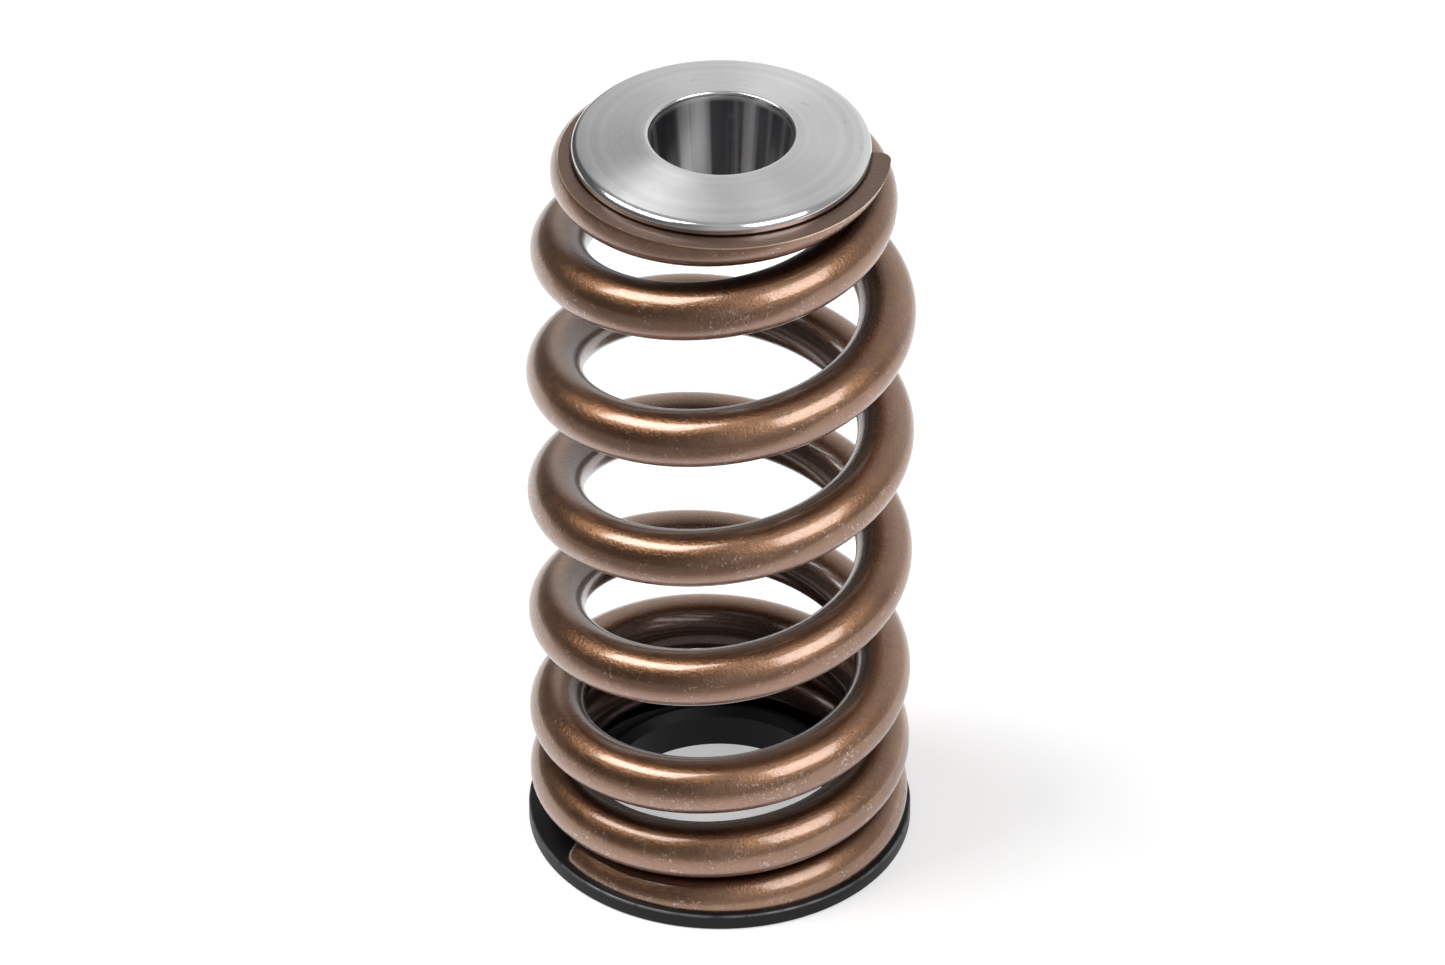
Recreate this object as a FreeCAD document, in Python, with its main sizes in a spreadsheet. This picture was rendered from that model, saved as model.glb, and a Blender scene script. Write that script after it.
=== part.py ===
import FreeCAD
import Part

import math
import os
import re

import Sketcher

# Engine valve spring with its seat and its retainer, standing on the seat.
# The axis of all three is Z, the underside of the seat is at height 0 and
# the bottom tip of the wire is on the side of -Y, the front.

DRIVING_SIZES = [
    # Spring: round wire, right hand, closed and ground at both ends.
    ("wire_diameter", 4.0),
    ("free_length", 56.3),
    ("total_turns", 7.41),
    ("tip_angle", -148.5),
    ("tip_thickness", 1.38),
    ("tip_edge_radius", 0.80),
    # Mean diameters of the coils along the body and at the top, and how much
    # the bottom tip is drawn in from the body.
    ("body_mean_diameter", 23.2),
    ("top_mean_diameter", 19.6),
    ("tip_drawn_in", 0.35),
    # Gaps between one turn and the next, along the axis.
    ("closed_gap", 0.15),
    ("close_gap", 1.54),
    ("active_gap_ratio", 0.92),
    # Turns counted up from the bottom tip.
    ("body_from_turn", 0.60),
    ("closed_until_turn", 0.83),
    ("close_from_turn", 1.20),
    ("close_until_turn", 1.87),
    ("active_from_turn", 2.70),
    # Turns counted down from the top tip.
    ("turns_above_active", 1.30),
    ("closed_top_turns", 0.80),
    ("shoulder_turns_from_top", 1.85),
    ("crown_turns_from_top", 0.63),
    # Seat: a flat ring under the spring, with a collar that centres the coil.
    ("seat_thickness", 1.2),
    ("seat_margin", 0.15),
    ("seat_collar_height", 1.85),
    ("seat_collar_clearance", 0.15),
    ("seat_collar_wall", 1.20),
    ("seat_collar_land", 0.60),
    ("seat_edge_break", 0.12),
    ("seat_collar_chamfer", 0.30),
    # Retainer: a flange on the top coil, a pilot in it and a boss below.
    ("retainer_height", 6.8),
    ("flange_diameter", 20.7),
    ("flange_edge_thickness", 0.80),
    ("crown_rise", 0.75),
    ("flange_top_radius", 0.50),
    ("flange_under_chamfer", 0.15),
    ("pilot_clearance", 0.20),
    ("pilot_depth", 1.6),
    ("pilot_chamfer", 0.30),
    ("boss_top_diameter", 12.8),
    ("boss_bottom_diameter", 11.0),
    ("keeper_bore_top_diameter", 10.0),
    ("keeper_bore_bottom_diameter", 8.6),
    ("keeper_mouth_chamfer", 0.20),
]

# What follows from the driving sizes. A length on the radius is a radius.
FITTED_SIZES = [
    ("tip_mean_radius", "body_mean_diameter / 2 - tip_drawn_in"),
    ("rim_radius", "body_mean_diameter / 2 + wire_diameter / 2 + seat_margin"),
    ("collar_radius", "tip_mean_radius - wire_diameter / 2 - seat_collar_clearance"),
    ("seat_bore_radius", "collar_radius - seat_collar_wall"),
    ("collar_top", "seat_thickness + seat_collar_height"),
    ("flare_radius", "collar_radius - seat_collar_land"),
    ("flare_foot", "collar_top - (flare_radius - seat_bore_radius)"),
    ("rest_height", "seat_thickness + free_length"),
    ("flange_edge_height", "rest_height + flange_edge_thickness"),
    ("crown_height", "flange_edge_height + crown_rise"),
    ("foot_height", "crown_height - retainer_height"),
    ("pilot_end", "rest_height - pilot_depth"),
    ("pilot_radius", "top_mean_diameter / 2 - wire_diameter / 2 - pilot_clearance"),
    ("flange_radius", "flange_diameter / 2"),
    ("boss_top_radius", "boss_top_diameter / 2"),
    ("boss_foot_radius", "boss_bottom_diameter / 2"),
    ("mouth_radius", "keeper_bore_top_diameter / 2"),
    ("bore_foot_radius", "keeper_bore_bottom_diameter / 2"),
    ("grinding_radius", "body_mean_diameter / 2 + 2 * wire_diameter"),
]

# Sections of the wire for each turn of the coil and for each of the faces
# that the turn is cut into, and a small step along the wire in turns.
STATIONS_PER_TURN = 16
STATIONS_PER_FACE = 8
SMALL_TURN = 1e-4
# A new outline starts this far from the axis, before its sizes shape it.
OUTLINE_START = 10
# Two lengths closer than this are the same length.
SAME_LENGTH = 1e-4

document = FreeCAD.newDocument("ValveSpring")


def make_sheet(label, rows):
    """A spreadsheet that holds each size under its own name."""
    sheet = document.addObject("Spreadsheet::Sheet", label)
    for number, (name, content) in enumerate(rows, start=1):
        sheet.set("A%d" % number, name)
        sheet.set("B%d" % number, content)
        sheet.setAlias("B%d" % number, name)
    document.recompute()
    return sheet


def in_sheets(text):
    """An expression with each name of a size led by the name of its sheet."""
    driving = [name for name, _ in DRIVING_SIZES]
    return re.sub("[a-z_]{2,}", lambda found: (
        "Sizes." if found.group() in driving else "Fits.") + found.group(), text)


sizes = make_sheet("Sizes", [(name, str(value)) for name, value in DRIVING_SIZES])
fits = make_sheet("Fits", [(name, "=" + in_sheets(text)) for name, text in FITTED_SIZES])


def size(name):
    """The value of one driving or fitted size."""
    sheet = sizes if sizes.getCellFromAlias(name) else fits
    return float(sheet.get(name))


def make_body(label):
    body = document.addObject("PartDesign::Body", label)
    body.Label = label
    return body


def origin_item(body, role):
    for item in body.Origin.OriginFeatures:
        if item.Role == role:
            return item
    raise RuntimeError("no %s in the origin of %s" % (role, body.Label))


def make_profile(body, label, corners):
    """A closed outline in the XZ plane. Each corner is (name, radius, height)."""
    sketch = body.newObject("Sketcher::SketchObject", label)
    sketch.AttachmentSupport = (origin_item(body, "XZ_Plane"), "")
    sketch.MapMode = "FlatFace"
    origin_point = (-1, 1)
    count = len(corners)
    start = []
    for index in range(count):
        start.append(FreeCAD.Vector(OUTLINE_START + index, index * (count - index), 0))
    for index in range(count):
        line = Part.LineSegment(start[index], start[(index + 1) % count])
        sketch.addGeometry(line, False)
    for index in range(count):
        sketch.addConstraint(Sketcher.Constraint("Coincident", index, 2, (index + 1) % count, 1))
    for index, (name, radius, height) in enumerate(corners):
        for kind, suffix, text in (("DistanceX", "radius", radius), ("DistanceY", "height", height)):
            value = start[index].x if kind == "DistanceX" else start[index].y
            number = sketch.addConstraint(Sketcher.Constraint(kind, *origin_point, index, 1, value))
            sketch.renameConstraint(number, "%s_%s" % (name, suffix))
            sketch.setExpression("Constraints.%s_%s" % (name, suffix), in_sheets(text))
    return sketch


def revolve(body, sketch):
    feature = body.newObject("PartDesign::Revolution", "%s_turned" % body.Name)
    feature.Profile = sketch
    feature.ReferenceAxis = (origin_item(body, "Z_Axis"), [""])
    feature.Angle = 360.0
    document.recompute()
    return feature


def circle_edges(shape, radius, height):
    """Names of the round edges that lie at this radius and height."""
    names = []
    for number, edge in enumerate(shape.Edges, start=1):
        curve = edge.Curve
        if not isinstance(curve, Part.Circle):
            continue
        same_radius = abs(curve.Radius - radius) < SAME_LENGTH
        if same_radius and abs(curve.Center.z - height) < SAME_LENGTH:
            names.append("Edge%d" % number)
    if not names:
        raise RuntimeError("no round edge at radius %.3f, height %.3f" % (radius, height))
    return names


def dress_edge(body, kind, label, places, size_name):
    """Round or chamfer the edges at these (radius, height) places."""
    base = body.Tip
    names = []
    for radius, height in places:
        names += circle_edges(base.Shape, radius, height)
    feature = body.newObject("PartDesign::%s" % kind, label)
    feature.Base = (base, names)
    target = "Radius" if kind == "Fillet" else "Size"
    feature.setExpression(target, in_sheets(size_name))
    document.recompute()
    return feature


# Spring


def turn_marks():
    """The turns at which the gap changes, with the gap there in units of the
    active gap and in millimetres: (turn, share of the active gap, fixed gap)."""
    turns = size("total_turns")
    closed = size("closed_gap")
    close = size("close_gap")
    last = size("active_gap_ratio")
    return [
        (0.0, 0.0, closed),
        (size("closed_until_turn"), 0.0, closed),
        (size("close_from_turn"), 0.0, close),
        (size("close_until_turn"), 0.0, close),
        (size("active_from_turn"), 1.0, 0.0),
        (turns - size("turns_above_active"), last, 0.0),
        (turns - size("closed_top_turns"), 0.0, closed),
        (turns, 0.0, closed),
    ]


def active_gap():
    """The widest gap, which the free length leaves for the active coils."""
    wire = size("wire_diameter")
    rise = size("free_length") + wire - 2.0 * size("tip_thickness")
    marks = turn_marks()
    share_area = 0.0
    fixed_area = 0.0
    for low, high in zip(marks, marks[1:]):
        width = high[0] - low[0]
        share_area += width * (low[1] + high[1]) / 2.0
        fixed_area += width * (low[2] + high[2]) / 2.0
    return (rise - size("total_turns") * wire - fixed_area) / share_area


def make_height_law():
    """Height of the wire's centre at a turn: the pitch, added up."""
    wire = size("wire_diameter")
    widest = active_gap()
    pitches = [(turn, wire + share * widest + fixed) for turn, share, fixed in turn_marks()]
    first = size("seat_thickness") + size("tip_thickness") - wire / 2.0

    def height(turn):
        level = first
        for (low, low_pitch), (high, high_pitch) in zip(pitches, pitches[1:]):
            part = min(max((turn - low) / (high - low), 0.0), 1.0)
            pitch_there = low_pitch + (high_pitch - low_pitch) * part
            level += (high - low) * part * (low_pitch + pitch_there) / 2.0
        last_turn, last_pitch = pitches[-1]
        return level + last_pitch * max(turn - last_turn, 0.0) + pitches[0][1] * min(turn, 0.0)

    return height


def ease(value, low, high):
    """A smooth step from 0 at low to 1 at high."""
    part = min(max((value - low) / (high - low), 0.0), 1.0)
    return part * part * (3.0 - 2.0 * part)


def mean_radius(turn):
    """Radius of the wire's centre: drawn in at the bottom tip, even along the
    body, and narrowing over the shoulder to the retainer's size."""
    turns = size("total_turns")
    tip = size("tip_mean_radius")
    body = size("body_mean_diameter") / 2.0
    top = size("top_mean_diameter") / 2.0
    shoulder = turns - size("shoulder_turns_from_top")
    crown = turns - size("crown_turns_from_top")
    radius = tip + (body - tip) * ease(turn, 0.0, size("body_from_turn"))
    return radius + (top - body) * ease(turn, shoulder, crown)


def make_coil():
    """The wire before grinding: one round section carried along the coil,
    its cut ends rounded.

    The skin is a rational surface. Round the wire it is an exact circle of
    four quarters, and along the wire it is a cubic spline through the
    stations."""
    turns = size("total_turns")
    half = size("wire_diameter") / 2.0
    height = make_height_law()

    def centre(turn):
        angle = math.radians(size("tip_angle") + 360.0 * turn)
        radius = mean_radius(turn)
        return FreeCAD.Vector(radius * math.cos(angle), radius * math.sin(angle), height(turn))

    def direction(turn):
        return (centre(turn + SMALL_TURN) - centre(turn - SMALL_TURN)).normalize()

    def section_axes(turn):
        along = direction(turn)
        angle = math.radians(size("tip_angle") + 360.0 * turn)
        outward = FreeCAD.Vector(math.cos(angle), math.sin(angle), 0.0)
        outward = (outward - along * outward.dot(along)).normalize()
        return outward, outward.cross(along)

    count = int(round(turns * STATIONS_PER_TURN))
    stations = [turns * index / count for index in range(count + 1)]
    corner_weight = math.sqrt(0.5)
    ring = []
    for quarter in range(4):
        at = math.pi / 2.0 * quarter
        middle = at + math.pi / 4.0
        ring.append((math.cos(at), math.sin(at), 1.0))
        ring.append((math.cos(middle) / corner_weight, math.sin(middle) / corner_weight, corner_weight))
    ring.append(ring[0])

    curves = []
    for across, upward, _ in ring:
        points = []
        for turn in stations:
            outward, up = section_axes(turn)
            points.append(centre(turn) + outward * (half * across) + up * (half * upward))
        curve = Part.BSplineCurve()
        curve.interpolate(Points=points, Parameters=stations)
        curves.append(curve)
    skin = Part.BSplineSurface()
    skin.buildFromPolesMultsKnots(
        [curve.getPoles() for curve in curves],
        [3, 2, 2, 2, 3],
        curves[0].getMultiplicities(),
        [0.0, 1.0, 2.0, 3.0, 4.0],
        curves[0].getKnots(),
        False,
        False,
        2,
        3,
        [[weight] * curves[0].NbPoles for _, _, weight in ring],
    )
    # The skin is cut into short faces, an upper and a lower one on each piece
    # of wire, because one face as long as the wire meshes badly.
    seams = stations[:-1:STATIONS_PER_FACE] + [turns]
    faces = []
    for low, high in zip(seams, seams[1:]):
        for side in (0.0, 2.0):
            patch = skin.copy()
            patch.segment(side, side + 2.0, low, high)
            faces.append(patch.toShape())
    for turn in (0.0, turns):
        halves = []
        for side in (0.0, 2.0):
            rim = skin.vIso(turn)
            rim.segment(side, side + 2.0)
            halves.append(rim.toShape())
        faces.append(Part.Face(Part.Wire(halves)))
    shell = Part.makeShell(faces)
    shell.sewShape()
    solid = Part.makeSolid(shell)
    if solid.Orientation == "Reversed":
        solid = Part.makeSolid(shell.reversed())
    if not solid.isValid():
        raise RuntimeError("the skin of the wire does not close")
    tip_edges = []
    for face in solid.Faces:
        if isinstance(face.Surface, Part.Plane):
            tip_edges += face.Edges
    return solid.makeFillet(size("tip_edge_radius"), tip_edges)


def make_valve_spring():
    """The coil with both ends ground flat, square to the axis."""
    coil = document.addObject("Part::Feature", "unground_coil")
    coil.Shape = make_coil()
    coil.Placement = FreeCAD.Placement()
    envelope = document.addObject("Part::Cylinder", "grinding_envelope")
    envelope.setExpression("Radius", in_sheets("grinding_radius"))
    envelope.setExpression("Height", in_sheets("free_length"))
    envelope.setExpression("Placement.Base.z", in_sheets("seat_thickness"))
    spring = document.addObject("Part::Common", "valve_spring")
    spring.Base = coil
    spring.Tool = envelope
    spring.Label = "valve_spring"
    return spring


# Seat

def make_spring_seat():
    """A turned ring: the bottom coil stands on it, round its collar."""
    body = make_body("spring_seat")
    outline = make_profile(body, "seat_outline", [
        ("bore_low", "seat_bore_radius", "0"),
        ("rim_low", "rim_radius", "0"),
        ("rim_high", "rim_radius", "seat_thickness"),
        ("collar_low", "collar_radius", "seat_thickness"),
        ("collar_high", "collar_radius", "collar_top"),
        ("flare_high", "flare_radius", "collar_top"),
        ("flare_low", "seat_bore_radius", "flare_foot"),
    ])
    revolve(body, outline)
    rim = size("rim_radius")
    rim_edges = [(rim, 0.0), (rim, size("seat_thickness"))]
    dress_edge(body, "Chamfer", "rim_edges", rim_edges, "seat_edge_break")
    collar_edge = [(size("collar_radius"), size("collar_top"))]
    dress_edge(body, "Chamfer", "collar_edge", collar_edge, "seat_collar_chamfer")
    return body


# Retainer


def make_retainer():
    """A turned washer with a tapered bore for the two keepers."""
    body = make_body("retainer")
    outline = make_profile(body, "retainer_outline", [
        ("bore_low", "bore_foot_radius", "foot_height"),
        ("boss_low", "boss_foot_radius", "foot_height"),
        ("boss_high", "boss_top_radius", "pilot_end"),
        ("pilot_low", "pilot_radius", "pilot_end"),
        ("pilot_high", "pilot_radius", "rest_height"),
        ("flange_low", "flange_radius", "rest_height"),
        ("flange_high", "flange_radius", "flange_edge_height"),
        ("mouth", "mouth_radius", "crown_height"),
    ])
    revolve(body, outline)
    flange = size("flange_radius")
    top_edge = [(flange, size("flange_edge_height"))]
    under_edge = [(flange, size("rest_height"))]
    pilot_edge = [(size("pilot_radius"), size("pilot_end"))]
    mouth_edge = [(size("mouth_radius"), size("crown_height"))]
    dress_edge(body, "Fillet", "flange_round", top_edge, "flange_top_radius")
    dress_edge(body, "Chamfer", "flange_under_edge", under_edge, "flange_under_chamfer")
    dress_edge(body, "Chamfer", "pilot_edge", pilot_edge, "pilot_chamfer")
    dress_edge(body, "Chamfer", "mouth_edge", mouth_edge, "keeper_mouth_chamfer")
    return body


def check(parts):
    """Stop before anything is written if an object failed or is not sound."""
    for item in document.Objects:
        for state in ("Invalid", "Error"):
            if state in item.State:
                raise RuntimeError("%s is %s" % (item.Label, state))
    for part in parts:
        if part.Shape.isNull() or not part.Shape.isValid():
            raise RuntimeError("%s has no valid shape" % part.Label)


parts = [make_spring_seat(), make_valve_spring(), make_retainer()]
document.recompute()
check(parts)

os.makedirs("parts", exist_ok=True)
for part in parts:
    part.Shape.exportStep("parts/%s.step" % part.Label)
    print("%s: %d solid, %.2f mm3" % (part.Label, len(part.Shape.Solids), part.Shape.Volume))
print("widest gap between turns %.2f mm" % active_gap())
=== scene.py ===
import math

import bpy
from bpy.props import FloatProperty, FloatVectorProperty, IntProperty, PointerProperty
from mathutils import Matrix, Vector


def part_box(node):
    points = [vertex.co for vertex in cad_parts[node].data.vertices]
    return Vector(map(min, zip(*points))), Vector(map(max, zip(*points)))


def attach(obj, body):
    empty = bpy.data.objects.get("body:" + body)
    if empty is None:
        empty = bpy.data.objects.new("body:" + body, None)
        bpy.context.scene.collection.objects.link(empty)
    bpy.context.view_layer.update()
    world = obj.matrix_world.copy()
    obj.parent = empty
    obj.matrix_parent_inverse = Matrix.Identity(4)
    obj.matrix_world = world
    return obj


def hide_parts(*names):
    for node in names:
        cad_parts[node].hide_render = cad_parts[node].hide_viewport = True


bl_info = {
    "name": "Valve Spring Assembly",
    "version": (1, 0, 0),
    "blender": (4, 5, 0),
    "location": "3D View > Sidebar > Valve Spring",
    "description": "A beehive valve spring with its seat, its retainer and a small studio",
    "category": "Object",
}

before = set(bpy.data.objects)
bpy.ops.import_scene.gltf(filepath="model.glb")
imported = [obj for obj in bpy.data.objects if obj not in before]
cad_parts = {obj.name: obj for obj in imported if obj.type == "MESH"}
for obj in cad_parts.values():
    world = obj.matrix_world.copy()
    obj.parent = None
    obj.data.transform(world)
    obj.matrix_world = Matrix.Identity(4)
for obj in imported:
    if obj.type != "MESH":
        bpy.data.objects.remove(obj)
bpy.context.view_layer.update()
SEAT_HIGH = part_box("spring_seat")[1]
SPRING_LOW, SPRING_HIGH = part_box("valve_spring")
RETAINER_LOW, RETAINER_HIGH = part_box("retainer")

MM = 0.001
PHOTO_WIDTH = 1445
PHOTO_FOCAL_PIXELS = 9664.165
SENSOR_MM = 36.0

# The angle from which an edge is sharp, on the turned pieces and on the wire
TURNED_SHARP = math.radians(32.0)
WOUND_SHARP = math.radians(25.0)


# Sizes and colours


def length(name, description, millimetres, low=0.0):
    """A size, given in millimetres and kept in metres."""
    return FloatProperty(name=name, description=description, default=millimetres * MM,
                         min=low * MM, unit="LENGTH", precision=5)


def turns(name, description, default):
    """A number of turns of the wire."""
    return FloatProperty(name=name, description=description, default=default, min=0.0, precision=3)


def colour(name, description, default):
    """A colour as linear red, green and blue."""
    return FloatVectorProperty(name=name, description=description, default=default,
                               min=0.0, max=1.0, size=3, subtype="COLOR")


def share(name, description, default):
    """A share between 0 and 1."""
    return FloatProperty(name=name, description=description, default=default,
                         min=0.0, max=1.0, subtype="FACTOR")


class SpringSizes(bpy.types.PropertyGroup):
    """Sizes of the wire and of the law that it follows."""

    wire_radius: length("Wire Radius", "Radius of the round wire", 2.0, 0.1)
    tip_thickness: length("Tip Thickness", "Thickness left at the ground tips", 1.38, 0.1)
    tip_round: length("Tip Round", "Radius of the rounded edge of the cut tips", 0.80)
    total_turns: turns("Turns", "Turns of the wire from tip to tip", 7.41)
    tip_angle: FloatProperty(name="Tip Angle", subtype="ANGLE", default=math.radians(-148.5),
                             description="Where the bottom tip lies round the axis")
    end_radius: length("End Radius", "Mean radius at the bottom tip", 11.25)
    body_radius: length("Body Radius", "Mean radius of the body's coils", 11.6)
    top_radius: length("Top Radius", "Mean radius of the top coil", 9.8)
    closed_gap: length("Closed Gap", "Gap between the turns at the closed ends", 0.15)
    close_gap: length("Close Gap", "Gap of the close-wound second turn", 1.54)
    gap_fade: share("Gap Fade", "The last active gap as a share of the first", 0.92)
    body_from: turns("Body From", "Turns up to the full body radius", 0.60)
    closed_until: turns("Closed Until", "Turns up to the end of the closed gap", 0.83)
    close_from: turns("Close From", "Turns up to the start of the close gap", 1.20)
    close_until: turns("Close Until", "Turns up to the end of the close gap", 1.87)
    active_from: turns("Active From", "Turns up to the first active gap", 2.70)
    active_ends: turns("Active Ends", "Turns from the last active gap to the top tip", 1.30)
    closed_from: turns("Closed From", "Turns from the top closed gap to the top tip", 0.80)
    shoulder: turns("Shoulder", "Turns from the start of the shoulder to the top tip", 1.85)
    crown: turns("Crown", "Turns from the end of the shoulder to the top tip", 0.63)
    edge_break: length("Edge Break", "Width of the broken edge of the ground faces", 0.07)
    steps_per_turn: IntProperty(name="Steps per Turn", description="Sections of wire in one turn",
                                default=88, min=12)
    tip_steps: IntProperty(name="Tip Steps", description="Sections of wire in one rounded tip",
                           default=8, min=2)
    sides: IntProperty(name="Sides", description="Points round the wire", default=56, min=8)
    base: colour("Coating", "Colour of the bronze-brown coating", (0.37, 0.181, 0.085))
    dark: colour("Coating Shade", "Darker patches of the coating", (0.17, 0.080, 0.038))
    # Painted reflection: the underside is tinted as if it mirrored the white floor
    under: colour("Underside", "Colour of the coating on the underside", (0.28, 0.142, 0.100))
    # Painted shade: the side of the wire that faces the axis is darkened
    inside: colour("Inside", "Colour of the coating on the side of the axis", (0.080, 0.048, 0.036))
    # Painted shade: the dark between close turns, on the axis side of the lowest turns and round the
    # retainer's rim
    crevice_shade: colour("Crevice", "Colour of the coating between close turns", (0.030, 0.015, 0.010))
    ground: colour("Ground Face", "Colour of the ground faces", (0.21, 0.140, 0.110))
    # Partly bare metal and partly a painted highlight: the bright line beside the top ground face
    edge: colour("Ground Edge", "Colour of the bright edge of the ground faces", (0.78, 0.56, 0.38))
    scuff: colour("Scuffs", "Colour where the coating is rubbed", (0.72, 0.62, 0.57))


class SeatSizes(bpy.types.PropertyGroup):
    """Sizes and colours of the black ring under the spring."""

    thickness: length("Thickness", "Thickness of the flat ring", 1.2)
    collar_radius: length("Collar Radius", "Outside radius of the collar in the coil", 9.1)
    flare_radius: length("Flare Radius", "Radius of the funnel at the collar's top", 8.5)
    bore_radius: length("Bore Radius", "Radius of the hole for the valve guide", 7.9)
    flare_foot: length("Flare Foot", "Height at which the funnel starts", 2.45)
    edge_break: length("Edge Break", "Width of the broken edge of the rim", 0.12)
    collar_chamfer: length("Collar Chamfer", "Chamfer on the collar's outer edge", 0.30)
    base: colour("Black", "Colour of the black coating", (0.004, 0.004, 0.005))
    grey: colour("Grey", "Greyer patches of the black coating", (0.009, 0.009, 0.010))
    worn: colour("Worn Edge", "Colour of the coating worn thin on the edges", (0.16, 0.16, 0.17))


class RetainerSizes(bpy.types.PropertyGroup):
    """Sizes and colours of the turned washer on the top coil."""

    flange_edge: length("Flange Edge", "Height of the flange's edge over the spring", 0.80)
    edge_round: length("Edge Round", "Radius of the flange's rounded edge", 0.50)
    under_chamfer: length("Under Chamfer", "Chamfer under the flange's edge", 0.15)
    pilot_radius: length("Pilot Radius", "Radius of the pilot in the top coil", 7.6)
    pilot_depth: length("Pilot Depth", "Depth of the pilot below the flange", 1.6)
    pilot_chamfer: length("Pilot Chamfer", "Chamfer on the pilot's lower edge", 0.30)
    boss_top_radius: length("Boss Top", "Radius of the boss under the pilot", 6.4)
    boss_foot_radius: length("Boss Foot", "Radius of the boss at its foot", 5.5)
    mouth_radius: length("Mouth Radius", "Radius of the keeper bore at its mouth", 5.0)
    foot_radius: length("Bore Foot", "Radius of the keeper bore at its foot", 4.3)
    mouth_chamfer: length("Mouth Chamfer", "Broken edge at the mouth of the bore", 0.20)
    base: colour("Steel", "Colour of the bare turned steel", (0.87, 0.87, 0.88))
    polished: colour("Polished", "Colour of the polished rim and mouth", (0.74, 0.74, 0.75))
    dark: colour("Steel Shade", "Colour of the duller turning lines", (0.62, 0.62, 0.63))
    smudge: colour("Smudges", "Colour of the faint smudges", (0.33, 0.31, 0.30))
    # Painted shade and painted reflections: the bore is coloured dark, with lighter streaks
    bore_painted_shade: colour("Bore Shade", "Darker streaks down the bore", (0.10, 0.10, 0.11))
    bore_painted_reflection: colour("Bore Light", "Lighter streaks down the bore", (0.52, 0.52, 0.53))


class StudioSizes(bpy.types.PropertyGroup):
    """Light, floor and camera."""

    floor_radius: length("Floor Radius", "Radius of the white floor", 900.0)
    floor_colour: colour("Floor", "Colour of the floor", (0.80, 0.80, 0.80))
    lamp_strength: FloatProperty(name="Lamp Strength", description="Strength of all lamps together",
                                 default=1.0, min=0.0)
    camera_distance: length("Camera Distance", "Distance from the camera to the aim", 680.346)
    camera_elevation: FloatProperty(name="Camera Elevation", description="Angle above the horizon",
                                    default=math.radians(36.104), subtype="ANGLE")
    camera_roll: FloatProperty(name="Camera Roll", description="Turn about the line of sight",
                               default=math.radians(0.135), subtype="ANGLE")
    aim_x: length("Aim Across", "Sideways place of the aim", 0.149, -100.0)
    aim_height: length("Aim Height", "Height of the aim", 29.319)


# Node trees


class Value:
    """A number in a node tree. Arithmetic on it adds the tree's Math nodes."""

    def __init__(self, tree, socket):
        self.tree = tree
        self.socket = socket

    def math(self, operation, *others):
        return self.tree.number(operation, self, *others)

    def __add__(self, other):
        return self.math("ADD", other)

    __radd__ = __add__

    def __mul__(self, other):
        return self.math("MULTIPLY", other)

    __rmul__ = __mul__

    def __sub__(self, other):
        return self.math("SUBTRACT", other)

    def __rsub__(self, other):
        return self.tree.number("SUBTRACT", other, self)

    def __truediv__(self, other):
        return self.math("DIVIDE", other)

    def __rtruediv__(self, other):
        return self.tree.number("DIVIDE", other, self)

    def __pow__(self, other):
        return self.math("POWER", other)

    def __neg__(self):
        return self.math("MULTIPLY", -1.0)

    def clamped(self):
        """The number held between 0 and 1."""
        result = self.math("ADD", 0.0)
        result.socket.node.use_clamp = True
        return result


class Tree:
    """Adds nodes to a shader or geometry tree, each in one call."""

    def __init__(self, tree):
        self.tree = tree

    def node(self, kind, settings=None, inputs=None):
        """One node: its type, its settings, and the values or links of its sockets."""
        made = self.tree.nodes.new(kind)
        for name, value in (settings or {}).items():
            setattr(made, name, value)
        for name, value in (inputs or {}).items():
            self.feed(made.inputs[name], value)
        return made

    def feed(self, socket, value):
        """Links a value or a socket to a socket, or sets its plain value."""
        if isinstance(value, Value):
            self.tree.links.new(value.socket, socket)
        elif isinstance(value, bpy.types.NodeSocket):
            self.tree.links.new(value, socket)
        else:
            socket.default_value = value

    def number(self, operation, *terms):
        """A Math node on these terms."""
        made = self.node("ShaderNodeMath", {"operation": operation}, dict(enumerate(terms)))
        return Value(self, made.outputs[0])

    def value(self, socket):
        return Value(self, socket)

    def smooth(self, value, low, high):
        """0 below low, 1 above high and a smooth step between them."""
        made = self.node("ShaderNodeMapRange", {"interpolation_type": "SMOOTHSTEP"},
                         {"Value": value, "From Min": low, "From Max": high})
        return Value(self, made.outputs["Result"])

    def parts(self, vector):
        """The three numbers of a vector."""
        made = self.node("ShaderNodeSeparateXYZ", inputs={0: vector})
        return [Value(self, socket) for socket in made.outputs]

    def joined(self, x, y, z):
        """A vector of three numbers."""
        return self.node("ShaderNodeCombineXYZ", inputs={0: x, 1: y, 2: z}).outputs[0]


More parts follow.
